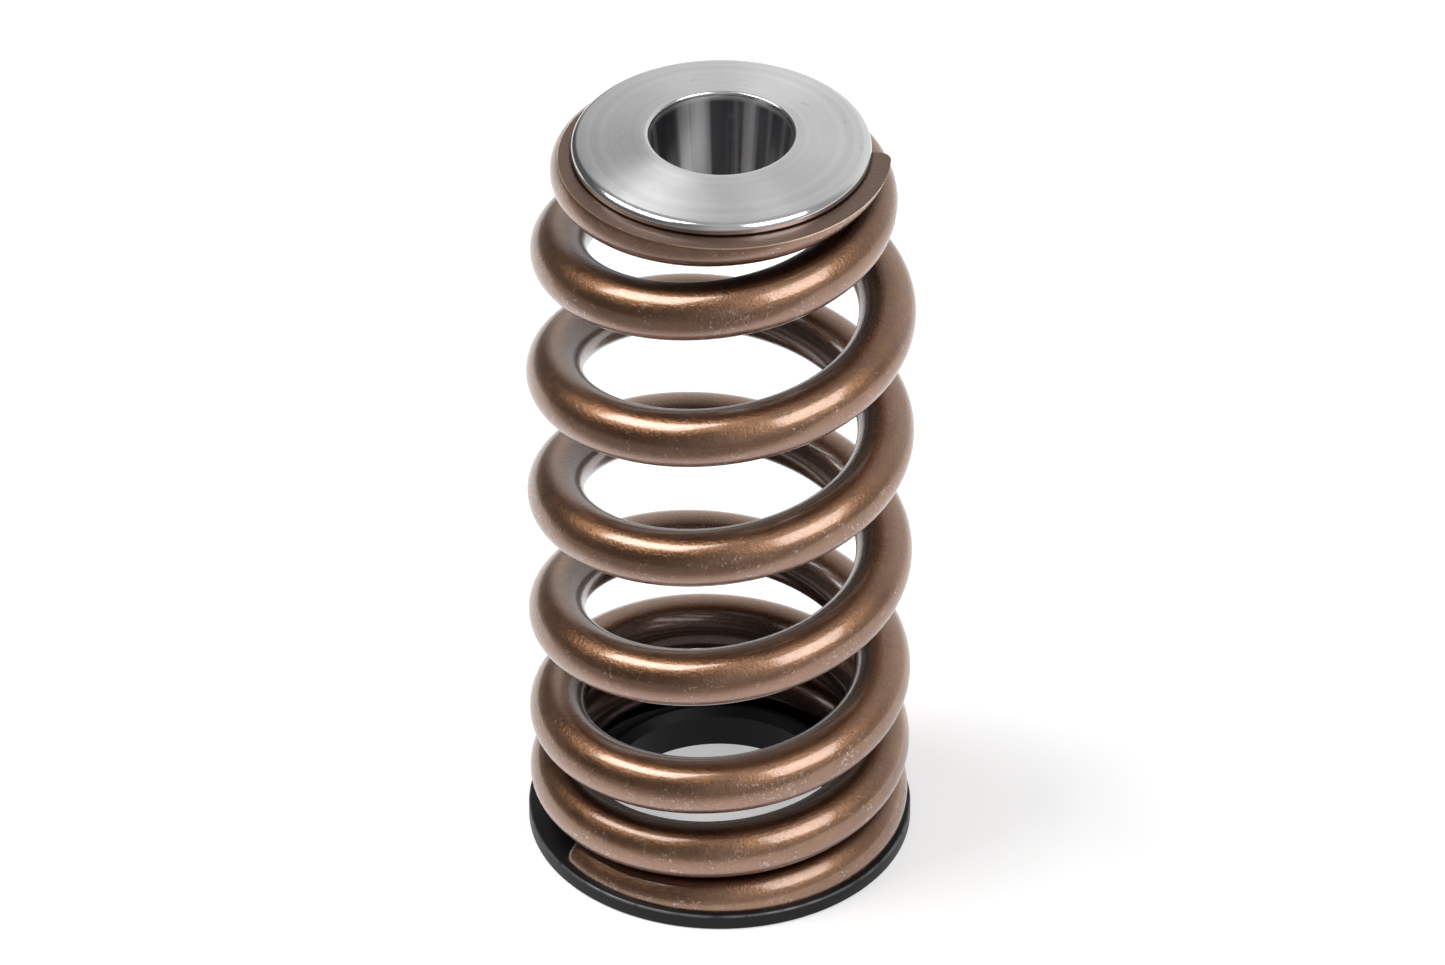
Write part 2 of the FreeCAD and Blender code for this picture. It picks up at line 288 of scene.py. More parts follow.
class Shader(Tree):
    """A material's node tree with the textures that the finishes share."""

    def __init__(self, name):
        self.material = bpy.data.materials.new(name)
        self.material.use_nodes = True
        super().__init__(self.material.node_tree)
        self.tree.nodes.clear()
        self.place = self.node("ShaderNodeTexCoord").outputs["Object"]

    def mix(self, factor, first, second):
        """A colour between two colours."""
        made = self.node("ShaderNodeMix", {"data_type": "RGBA"})
        self.feed(made.inputs[0], factor)
        for socket, tint in ((made.inputs[6], first), (made.inputs[7], second)):
            if not isinstance(tint, bpy.types.NodeSocket):
                tint = (*tint, 1.0)
            self.feed(socket, tint)
        return made.outputs[2]

    def noise(self, millimetres, detail=2.0, roughness=0.5):
        """A cloud noise whose lumps are about this size."""
        made = self.node("ShaderNodeTexNoise", inputs={
            "Vector": self.place, "Scale": 1.0 / (millimetres * MM),
            "Detail": detail, "Roughness": roughness})
        return self.value(made.outputs["Fac"])

    def rings(self, distance, millimetres, detail=2.0):
        """Noise along one number, such as the turning lines along a radius."""
        made = self.node("ShaderNodeTexNoise", {"noise_dimensions": "1D"}, {
            "W": distance / (millimetres * MM), "Scale": 1.0, "Detail": detail})
        return self.value(made.outputs["Fac"])

    def radius_and_height(self):
        """The distance from the axis and the height over the seat's underside."""
        x, y, z = self.parts(self.place)
        return (x * x + y * y) ** 0.5, z

    def bump(self, height, millimetres, strength=1.0, normal=None):
        """A bump of a height between 0 and 1 that stands for so many millimetres."""
        made = self.node("ShaderNodeBump", inputs={
            "Height": height, "Distance": millimetres * MM, "Strength": strength})
        if normal is not None:
            self.feed(made.inputs["Normal"], normal)
        return made.outputs["Normal"]

    def finish(self, inputs):
        """The Principled surface that ends the tree."""
        surface = self.node("ShaderNodeBsdfPrincipled", inputs=inputs)
        self.node("ShaderNodeOutputMaterial", inputs={"Surface": surface.outputs[0]})
        return self.material


# Finishes

# Where each mark ends. It is full up to the distance FULL and gone at FADE.

# From the plane of a ground face, the colour of the grinding
GROUND_FULL = 0.015 * MM
GROUND_FADE = 0.030 * MM
# From the top plane down, the bright line beside the ground face: bare metal
# and partly a painted highlight
EDGE_FULL = 0.07 * MM
EDGE_FADE = 0.11 * MM
# From the retainer's rim, the painted shadow line on the ground face
CONTACT_SHADOW_WIDTH = 0.22 * MM
# From one turn to the next, the painted shade between close turns
HOLLOW_REACH = 3.5 * MM
# From the bottom up, the painted shade on the axis side of the lowest turns
NEST_FULL = 11.0 * MM
NEST_FADE = 15.0 * MM
# From the seat's top edge, the worn line
WEAR_FULL = 0.10 * MM
WEAR_FADE = 0.16 * MM
# From the retainer's rim inwards, its polish
RIM_FULL = 0.45 * MM
RIM_FADE = 0.62 * MM
# From the mouth of the bore outwards, and down from the top, its polish
LIP_FULL = 0.22 * MM
LIP_FADE = 0.34 * MM
LIP_DEEP_FULL = 0.20 * MM
LIP_DEEP_FADE = 0.35 * MM
# Inwards from the radius of the mouth, where the bore's painted shade and
# painted reflection streaks start, and where there is nothing else
STREAKS_START = 0.01 * MM
STREAKS_ALONE = 0.06 * MM


def painted_hollow_shade(shader, outward, upward, height):
    """Painted shade where little light gets in: between close turns and on the
    axis side of the lowest turns.
    """
    around = shader.node("ShaderNodeAmbientOcclusion", {"samples": 4, "only_local": True},
                         {"Distance": HOLLOW_REACH})
    covered = 1.0 - shader.smooth(shader.value(around.outputs["AO"]), 0.58, 0.84)
    covered = covered * shader.smooth(upward, 0.45, 0.72)
    lowest = 1.0 - shader.smooth(height, NEST_FULL, NEST_FADE)
    nested = shader.smooth(-outward, 0.45, 0.75) * lowest
    return (covered + nested * 0.7).clamped()


def scuffs(shader, outward, upward):
    """Specks and hair-fine scratches, most of them on the outer flank."""
    flank = shader.smooth(outward - upward * 0.45, 0.35, 0.85)
    patches = shader.smooth(shader.noise(3.0, 2.0, 0.5), 0.46, 0.66)
    specks = shader.smooth(shader.noise(0.26, 2.0, 0.7), 0.61, 0.66)
    wander = shader.noise(0.8, 2.0, 0.6) - 0.5
    hairline = 1.0 - shader.smooth(wander.math("ABSOLUTE"), 0.004, 0.020)
    hairline = hairline * shader.smooth(shader.noise(1.0, 1.0, 0.5), 0.60, 0.66)
    return ((specks * patches + hairline * 0.55) * (flank * 0.85 + 0.15)).clamped()


def ground_marks(shader, upward, radius, height):
    """Both ground faces, the bright line beside the top one (bare metal and partly a
    painted highlight), and the painted shadow line on it round the retainer."""
    low, high = SPRING_LOW.z, SPRING_HIGH.z
    at_foot = 1.0 - shader.smooth(height, low + GROUND_FULL, low + GROUND_FADE)
    at_top = shader.smooth(height, high - GROUND_FADE, high - GROUND_FULL)
    level = shader.smooth(upward.math("ABSOLUTE"), 0.995, 0.999)
    ground = level * (at_foot + at_top).clamped()
    # The bright line below the top plane: bare metal and partly a painted highlight
    edge = shader.smooth(height, high - EDGE_FADE, high - EDGE_FULL) * (1.0 - ground)
    rim = RETAINER_HIGH.x
    # A painted shadow on the top ground face round the retainer's rim
    contact_shadow = ground * at_top * (1.0 - shader.smooth(radius, rim, rim + CONTACT_SHADOW_WIDTH))
    return ground, edge, contact_shadow


def coated_wire(sizes):
    """Bronze-brown metallic coating with a fine flake, dull on the ground faces,
    with painted shade between close turns, on the axis side and round the
    retainer, a painted floor reflection underneath and a partly painted highlight
    on the top ground face's edge.
    """
    shader = Shader("bronze_coating")
    radius, height = shader.radius_and_height()
    flake = shader.noise(0.10, 3.0, 0.65)
    dimple = shader.noise(0.26, 2.0, 0.6)
    cloud = shader.noise(2.6, 4.0, 0.6)
    streak = shader.noise(0.9, 3.0, 0.6)
    across, along, upward = shader.parts(
        shader.node("ShaderNodeNewGeometry").outputs["True Normal"])
    place_x, place_y, _ = shader.parts(shader.place)
    outward = (across * place_x + along * place_y) / radius
    below = shader.smooth(-upward, -0.25, 0.55)
    inner = shader.smooth(-outward, -0.15, 0.60)
    hollow_shade = painted_hollow_shade(shader, outward, upward, height)
    scuffed = scuffs(shader, outward, upward)
    ground, edge, contact_shadow = ground_marks(shader, upward, radius, height)

    patchy = (cloud * 0.8 + streak * 0.5 - 0.25).clamped()
    tint = shader.mix(patchy, sizes.dark, sizes.base)
    # Painted reflection of the white floor on the underside
    tint = shader.mix(below * 0.85, tint, sizes.under)
    # Painted shade on the side of the wire that faces the axis
    tint = shader.mix(inner * 0.85, tint, sizes.inside)
    tint = shader.mix(shader.smooth(flake, 0.60, 0.80) * 0.35, tint, sizes.scuff)
    tint = shader.mix(shader.smooth(1.0 - flake, 0.60, 0.80) * 0.50, tint, sizes.dark)
    tint = shader.mix(scuffed * 0.75, tint, sizes.scuff)
    grinding = shader.noise(0.16, 3.0, 0.6)
    dull = shader.mix(grinding * 0.7, sizes.ground, sizes.dark)
    tint = shader.mix(ground, tint, dull)
    # The bright line beside the top ground face: bare metal and partly a painted highlight
    tint = shader.mix(edge * shader.smooth(cloud, 0.25, 0.50) * 0.9, tint, sizes.edge)
    # Painted shade between close turns and in the lowest turns, and a painted shadow round the
    # retainer
    tint = shader.mix((hollow_shade + contact_shadow).clamped() * 0.9, tint, sizes.crevice_shade)

    roughness = 0.33 + (flake - 0.5) * 0.30 + (cloud - 0.5) * 0.12
    roughness = roughness + ground * 0.04 + scuffed * 0.10
    relief = shader.bump(streak, 0.02, 0.5)
    relief = shader.bump(dimple, 0.034, 1.0, relief)
    relief = shader.bump(flake, 0.020, 0.9, relief)
    clear = 0.55 + shader.smooth(flake, 0.40, 0.62) * 0.45
    # The coat is thinned on the ground faces, and where the shade between close turns and in the
    # lowest turns is painted
    clear = clear * (1.0 - ground * 0.70) * (1.0 - hollow_shade * 0.9)
    return shader.finish({
        "Base Color": tint, "Roughness": roughness.clamped(), "Metallic": 1.0,
        "Normal": relief, "Coat Weight": clear, "Coat Roughness": 0.15, "Coat IOR": 1.9})


def black_steel(sizes):
    """Satin black coating, worn thin on the edges."""
    shader = Shader("black_coating")
    radius, height = shader.radius_and_height()
    grain = shader.noise(0.12, 3.0, 0.6)
    cloud = shader.noise(2.2, 3.0, 0.6)
    turning = shader.rings(radius + height * 0.5, 0.10)
    rim, top = SEAT_HIGH.x, sizes.thickness
    outer_edge = shader.smooth(radius, rim - WEAR_FADE, rim - WEAR_FULL)
    top_edge = outer_edge * shader.smooth(height, top - WEAR_FADE, top - WEAR_FULL)
    wear = (top_edge * shader.smooth(cloud, 0.30, 0.62)).clamped()
    dust = shader.smooth(shader.noise(0.30, 2.0, 0.7), 0.72, 0.80)
    tint = shader.mix(cloud * 0.6, sizes.base, sizes.grey)
    tint = shader.mix((wear * 0.8 + dust * 0.35).clamped(), tint, sizes.worn)
    roughness = 0.42 + (grain - 0.5) * 0.22 - wear * 0.10
    relief = shader.bump(turning, 0.008, 0.5, shader.bump(grain, 0.01, 0.6))
    return shader.finish({
        "Base Color": tint, "Roughness": roughness.clamped(), "Metallic": wear * 0.6,
        "Normal": relief, "Specular IOR Level": 0.22})


def turned_steel(sizes):
    """Bare steel with the lathe's round lines, polished on the rim and the mouth,
    with painted shade and painted reflection streaks down the bore.
    """
    shader = Shader("turned_steel")
    radius, height = shader.radius_and_height()
    outer, top, mouth_radius = RETAINER_HIGH.x, RETAINER_HIGH.z, sizes.mouth_radius
    track = radius + height * 0.7
    fine = shader.rings(track, 0.07, 3.0)
    broad = shader.rings(track, 0.55, 2.0)
    cloud = shader.noise(3.0, 4.0, 0.6)
    rim = shader.smooth(radius, outer - RIM_FADE, outer - RIM_FULL)
    mouth = 1.0 - shader.smooth(radius, mouth_radius + LIP_FULL, mouth_radius + LIP_FADE)
    lip = mouth * shader.smooth(height, top - LIP_DEEP_FADE, top - LIP_DEEP_FULL)
    polished = (rim + lip).clamped()
    place_x, place_y, _ = shader.parts(shader.place)
    round_place = shader.joined(place_x / radius, place_y / radius, height * 4.0)
    reflection_noise = shader.node("ShaderNodeTexNoise", inputs={
        "Vector": round_place, "Scale": 2.6, "Detail": 3.0, "Roughness": 0.6})
    bore = 1.0 - shader.smooth(
        radius, mouth_radius - STREAKS_ALONE, mouth_radius - STREAKS_START)
    bore = bore * (1.0 - lip)
    reflection_bands = shader.smooth(shader.value(reflection_noise.outputs["Fac"]), 0.40, 0.62)
    smudge = shader.smooth(shader.noise(1.5, 3.0, 0.6), 0.62, 0.76) * (1.0 - polished)
    specks = shader.smooth(shader.noise(0.28, 2.0, 0.7), 0.74, 0.80) * (1.0 - polished)
    lines = (broad * 0.5 + fine * 0.5 - 0.15 + (cloud - 0.5) * 0.4).clamped()
    tint = shader.mix(lines, sizes.dark, sizes.base)
    tint = shader.mix(polished * 0.7, tint, sizes.polished)
    # Painted shade and painted reflection streaks down the bore
    tint = shader.mix(bore, tint, shader.mix(reflection_bands, sizes.bore_painted_shade, sizes.bore_painted_reflection))
    tint = shader.mix((smudge * 0.30 + specks * 0.55).clamped(), tint, sizes.smudge)
    roughness = 0.36 + (fine - 0.5) * 0.22 + (cloud - 0.5) * 0.14
    roughness = roughness + smudge * 0.12 - polished * 0.20
    relief = shader.bump(fine, 0.010, 0.9, shader.bump(broad, 0.02, 0.4))
    return shader.finish({
        "Base Color": tint, "Roughness": roughness.clamped(), "Metallic": 1.0, "Normal": relief,
        "Anisotropic": 0.75, "Anisotropic Rotation": 0.25})


# Meshes


def arc(centre_radius, centre_height, radius, start, end, steps):
    """Outline points on an arc. Angles are in degrees from the outward direction."""
    points = []
    for index in range(steps + 1):
        angle = math.radians(start + (end - start) * index / steps)
        points.append((centre_radius + radius * math.cos(angle),
                       centre_height + radius * math.sin(angle)))
    return points


def lathe(name, outline, segments):
    """A closed outline of (radius, height) turned about Z, with outward faces."""
    count = len(outline)
    vertices = []
    for step in range(segments):
        angle = 2.0 * math.pi * step / segments
        for radius, height in outline:
            vertices.append((radius * math.cos(angle), radius * math.sin(angle), height))
    faces = []
    for step in range(segments):
        here, there = step * count, (step + 1) % segments * count
        for index in range(count):
            after = (index + 1) % count
            faces.append((here + index, there + index, there + after, here + after))
    mesh = bpy.data.meshes.new(name)
    mesh.from_pydata(vertices, [], faces)
    mesh.validate()
    mesh.shade_smooth()
    mesh.set_sharp_from_angle(angle=TURNED_SHARP)
    made = bpy.data.objects.new(name, mesh)
    bpy.context.scene.collection.objects.link(made)
    return made


def dress(made, material, node):
    """Gives a finished piece its material and the node that it stands for."""
    made.data.materials.clear()
    made.data.materials.append(material)
    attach(made, "root")
    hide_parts(node)


def subdivided(outline, longest):
    """The outline with its long sides divided, so that the faces stay short."""
    points = []
    for here, there in zip(outline, outline[1:] + outline[:1]):
        pieces = max(1, math.ceil(math.dist(here, there) / longest))
        for index in range(pieces):
            part = index / pieces
            points.append((here[0] + (there[0] - here[0]) * part,
                           here[1] + (there[1] - here[1]) * part))
    return points


# The coil's law in nodes


def pitch_marks(sizes):
    """(turn, pitch) at each change of the gap, the active gap from the height."""
    wire = 2.0 * sizes.wire_radius
    total = sizes.total_turns
    marks = [
        # turn, share of the widest gap, gap of its own
        (0.0, 0.0, sizes.closed_gap),
        (sizes.closed_until, 0.0, sizes.closed_gap),
        (sizes.close_from, 0.0, sizes.close_gap),
        (sizes.close_until, 0.0, sizes.close_gap),
        (sizes.active_from, 1.0, 0.0),
        (total - sizes.active_ends, sizes.gap_fade, 0.0),
        (total - sizes.closed_from, 0.0, sizes.closed_gap),
        (total, 0.0, sizes.closed_gap),
    ]
    shares = 0.0
    fixed = 0.0
    for low, high in zip(marks, marks[1:]):
        shares += (high[0] - low[0]) * (low[1] + high[1]) / 2.0
        fixed += (high[0] - low[0]) * (low[2] + high[2]) / 2.0
    rise = SPRING_HIGH.z - SPRING_LOW.z + wire - 2.0 * sizes.tip_thickness
    widest = (rise - total * wire - fixed) / shares
    return [(turn, wire + part * widest + gap) for turn, part, gap in marks]


class CoilTree(Tree):
    """Geometry Nodes that sweep the wire along its law and grind both ends."""

    INPUTS = (
        ("Wire Radius", "wire_radius"), ("Turns", "total_turns"), ("Tip Angle", "tip_angle"),
        ("End Radius", "end_radius"), ("Body Radius", "body_radius"), ("Top Radius", "top_radius"),
        ("Body From", "body_from"), ("Shoulder", "shoulder"), ("Crown", "crown"),
        ("Tip Round", "tip_round"),
    )

    def __init__(self, sizes, material):
        group = bpy.data.node_groups.new("wound_wire", "GeometryNodeTree")
        super().__init__(group)
        face = group.interface
        face.new_socket("Geometry", in_out="INPUT", socket_type="NodeSocketGeometry")
        face.new_socket("Geometry", in_out="OUTPUT", socket_type="NodeSocketGeometry")
        self.identifiers = {}
        for label, attribute in self.INPUTS:
            socket = face.new_socket(label, in_out="INPUT", socket_type="NodeSocketFloat")
            socket.default_value = getattr(sizes, attribute)
            self.identifiers[attribute] = socket.identifier
        for label, attribute in (("Steps", "steps"), ("Tip Steps", "tip_steps"), ("Sides", "sides")):
            socket = face.new_socket(label, in_out="INPUT", socket_type="NodeSocketInt")
            self.identifiers[attribute] = socket.identifier
        self.entry = self.node("NodeGroupInput")
        self.build(sizes, material)

    def given(self, label):
        return self.value(self.entry.outputs[label])

    def height(self, turn, marks, first):
        """The wire's height at a turn: the pitch, added up over its marks."""
        level = first
        for (low, low_pitch), (high, high_pitch) in zip(marks, marks[1:]):
            width = high - low
            part = ((turn - low) / width).clamped()
            bend = width * (high_pitch - low_pitch) / 2.0
            level = level + part * (width * low_pitch) + part * part * bend
        return level

    def along_the_wire(self):
        """The turn at each point of the path, closer together in the rounded
        tips, and the width of the wire there as a share of the full width."""
        last = self.given("Steps") - 1.0
        tip_steps = self.given("Tip Steps")
        index = self.value(self.node("GeometryNodeInputIndex").outputs[0])
        quarter = math.pi / 2.0
        first_tip = (index / tip_steps).clamped() * quarter
        last_tip = ((last - index) / tip_steps).clamped() * quarter
        between = ((index - tip_steps) / (last - tip_steps * 2.0)).clamped()
        low = self.given("Tip Round") / (self.given("End Radius") * (2.0 * math.pi))
        high = self.given("Tip Round") / (self.given("Top Radius") * (2.0 * math.pi))
        turn = low * (1.0 - first_tip.math("COSINE")) + between * (self.given("Turns") - low - high)
        turn = turn + high * last_tip.math("COSINE")
        narrowing = 2.0 - first_tip.math("SINE") - last_tip.math("SINE")
        width = 1.0 - narrowing * (self.given("Tip Round") / self.given("Wire Radius"))
        return turn, width

    def build(self, sizes, material):
        steps = self.given("Steps")
        turn, width = self.along_the_wire()
        total = self.given("Turns")
        shoulder = total - self.given("Shoulder")
        crown = total - self.given("Crown")
        end = self.given("End Radius")
        body = self.given("Body Radius")
        top = self.given("Top Radius")
        radius = end + (body - end) * self.smooth(turn, 0.0, self.given("Body From"))
        radius = radius + (top - body) * self.smooth(turn, shoulder, crown)
        first = SPRING_LOW.z + sizes.tip_thickness - sizes.wire_radius
        level = self.height(turn, pitch_marks(sizes), first)
        angle = self.given("Tip Angle") + turn * (2.0 * math.pi)
        place = self.joined(radius * angle.math("COSINE"), radius * angle.math("SINE"), level)

        # A round wire along its path
        line = self.node("GeometryNodeMeshLine", inputs={"Count": steps})
        path = self.node("GeometryNodeMeshToCurve", inputs={"Mesh": line.outputs[0]})
        placed = self.node("GeometryNodeSetPosition", inputs={
            "Geometry": path.outputs[0], "Position": place})
        ring = self.node("GeometryNodeCurvePrimitiveCircle", inputs={
            "Resolution": self.given("Sides"), "Radius": self.given("Wire Radius")})
        wire = self.node("GeometryNodeCurveToMesh", inputs={
            "Curve": placed.outputs[0], "Profile Curve": ring.outputs[0], "Scale": width,
            "Fill Caps": True})

        # Only what lies between the two grinding planes stays
        tall = SPRING_HIGH.z - SPRING_LOW.z
        stone = self.node("GeometryNodeMeshCylinder", {"fill_type": "NGON"}, {
            "Vertices": 12, "Radius": self.given("Body Radius") * 2.0, "Depth": tall})
        raised = self.node("GeometryNodeTransform", inputs={
            "Geometry": stone.outputs[0], "Translation": (0.0, 0.0, SPRING_LOW.z + tall / 2.0)})
        ground = self.node("GeometryNodeMeshBoolean", {"operation": "INTERSECT", "solver": "EXACT"})
        self.tree.links.new(wire.outputs[0], ground.inputs["Mesh 2"])
        self.tree.links.new(raised.outputs[0], ground.inputs["Mesh 2"])
        smooth = self.node("GeometryNodeSetShadeSmooth", inputs={"Geometry": ground.outputs[0]})
        real = self.node("GeometryNodeRealizeInstances", inputs={"Geometry": smooth.outputs[0]})
        painted = self.node("GeometryNodeSetMaterial", inputs={
            "Geometry": real.outputs[0], "Material": material})
        self.node("NodeGroupOutput", inputs={0: painted.outputs[0]})


def grown(name, tree, values):
    """The result of a Geometry Nodes tree as a plain mesh object."""
    scene = bpy.context.scene
    holder = bpy.data.objects.new(name + "_path", bpy.data.meshes.new(name + "_path"))
    scene.collection.objects.link(holder)
    modifier = holder.modifiers.new("wound", "NODES")
    modifier.node_group = tree.tree
    for attribute, value in values.items():
        modifier[tree.identifiers[attribute]] = value
    graph = bpy.context.evaluated_depsgraph_get()
    mesh = bpy.data.meshes.new_from_object(holder.evaluated_get(graph), depsgraph=graph)
    mesh.name = name
    holder.modifiers.remove(modifier)
    bpy.data.objects.remove(holder)
    made = bpy.data.objects.new(name, mesh)
    scene.collection.objects.link(made)
    return made


# Operators


class MakeSpring(bpy.types.Operator):
    """Wind the wire, grind its ends and coat it"""

    bl_idname = "valve_spring.make_spring"
    bl_label = "Make Spring"

    def execute(self, context):
        sizes = context.scene.spring_sizes
        material = coated_wire(sizes)
        tree = CoilTree(sizes, material)
        values = {attribute: getattr(sizes, attribute) for _, attribute in CoilTree.INPUTS}
        values["steps"] = int(sizes.total_turns * sizes.steps_per_turn) + 2 * sizes.tip_steps
        values["tip_steps"] = sizes.tip_steps
        values["sides"] = sizes.sides
        made = grown("wound_spring", tree, values)
        if not made.data.polygons:
            raise RuntimeError("the wound wire is empty")
        made.data.shade_smooth()
        made.data.set_sharp_from_angle(angle=WOUND_SHARP)
        broken = made.modifiers.new("broken_edges", "BEVEL")
        broken.width = sizes.edge_break
        broken.segments = 2
        broken.limit_method = "ANGLE"
        broken.angle_limit = WOUND_SHARP
        broken.use_clamp_overlap = True
        graph = context.evaluated_depsgraph_get()
        mesh = bpy.data.meshes.new_from_object(made.evaluated_get(graph), depsgraph=graph)
        made.modifiers.remove(broken)
        made.data = mesh
        dress(made, material, "valve_spring")
        return {"FINISHED"}


class MakeSeat(bpy.types.Operator):
    """Turn the black ring that the spring stands on"""

    bl_idname = "valve_spring.make_seat"
    bl_label = "Make Seat"

    # Steps round the axis, and the longest face along the outline
    SEGMENTS = 192
    LONGEST = 1.2 * MM

    def execute(self, context):
        sizes = context.scene.seat_sizes
        rim, top = SEAT_HIGH.x, SEAT_HIGH.z
        broken = sizes.edge_break
        outline = [
            (sizes.bore_radius, 0.0),
            (rim - broken, 0.0),
            (rim, broken),
            *arc(rim - broken, sizes.thickness - broken, broken, 0.0, 90.0, 4),
            (sizes.collar_radius, sizes.thickness),
            (sizes.collar_radius, top - sizes.collar_chamfer),
            (sizes.collar_radius - sizes.collar_chamfer, top),
            (sizes.flare_radius, top),
            (sizes.bore_radius, sizes.flare_foot),
        ]
        made = lathe("turned_seat", subdivided(outline, self.LONGEST), self.SEGMENTS)
        dress(made, black_steel(sizes), "spring_seat")
        return {"FINISHED"}


class MakeRetainer(bpy.types.Operator):
    """Turn the washer that lies on the top coil"""

    bl_idname = "valve_spring.make_retainer"
    bl_label = "Make Retainer"

    # Steps round the axis, and the longest face along the outline
    SEGMENTS = 256
    LONGEST = 0.6 * MM

    def execute(self, context):
        sizes = context.scene.retainer_sizes
        rest = SPRING_HIGH.z
        rim, top, foot = RETAINER_HIGH.x, RETAINER_HIGH.z, RETAINER_LOW.z
        pilot_end = rest - sizes.pilot_depth
        edge = rest + sizes.flange_edge
        mouth, broken = sizes.mouth_radius, sizes.mouth_chamfer
        slope = math.atan2(top - edge, rim - mouth - broken)
        drop = sizes.edge_round * math.tan((math.pi / 2.0 - slope) / 2.0)
        outline = [
            (sizes.foot_radius, foot),
            (sizes.boss_foot_radius, foot),
            (sizes.boss_top_radius, pilot_end),
            (sizes.pilot_radius - sizes.pilot_chamfer, pilot_end),
            (sizes.pilot_radius, pilot_end + sizes.pilot_chamfer),
            (sizes.pilot_radius, rest),
            (rim - sizes.under_chamfer, rest),
            (rim, rest + sizes.under_chamfer),
            *arc(rim - sizes.edge_round, edge - drop, sizes.edge_round,
                 0.0, 90.0 - math.degrees(slope), 10),
            (mouth + broken, top),
            *arc(mouth + broken, top - broken, broken, 90.0, 180.0, 5)[1:],
        ]
        made = lathe("turned_retainer", subdivided(outline, self.LONGEST), self.SEGMENTS)
        dress(made, turned_steel(sizes), "retainer")
        return {"FINISHED"}


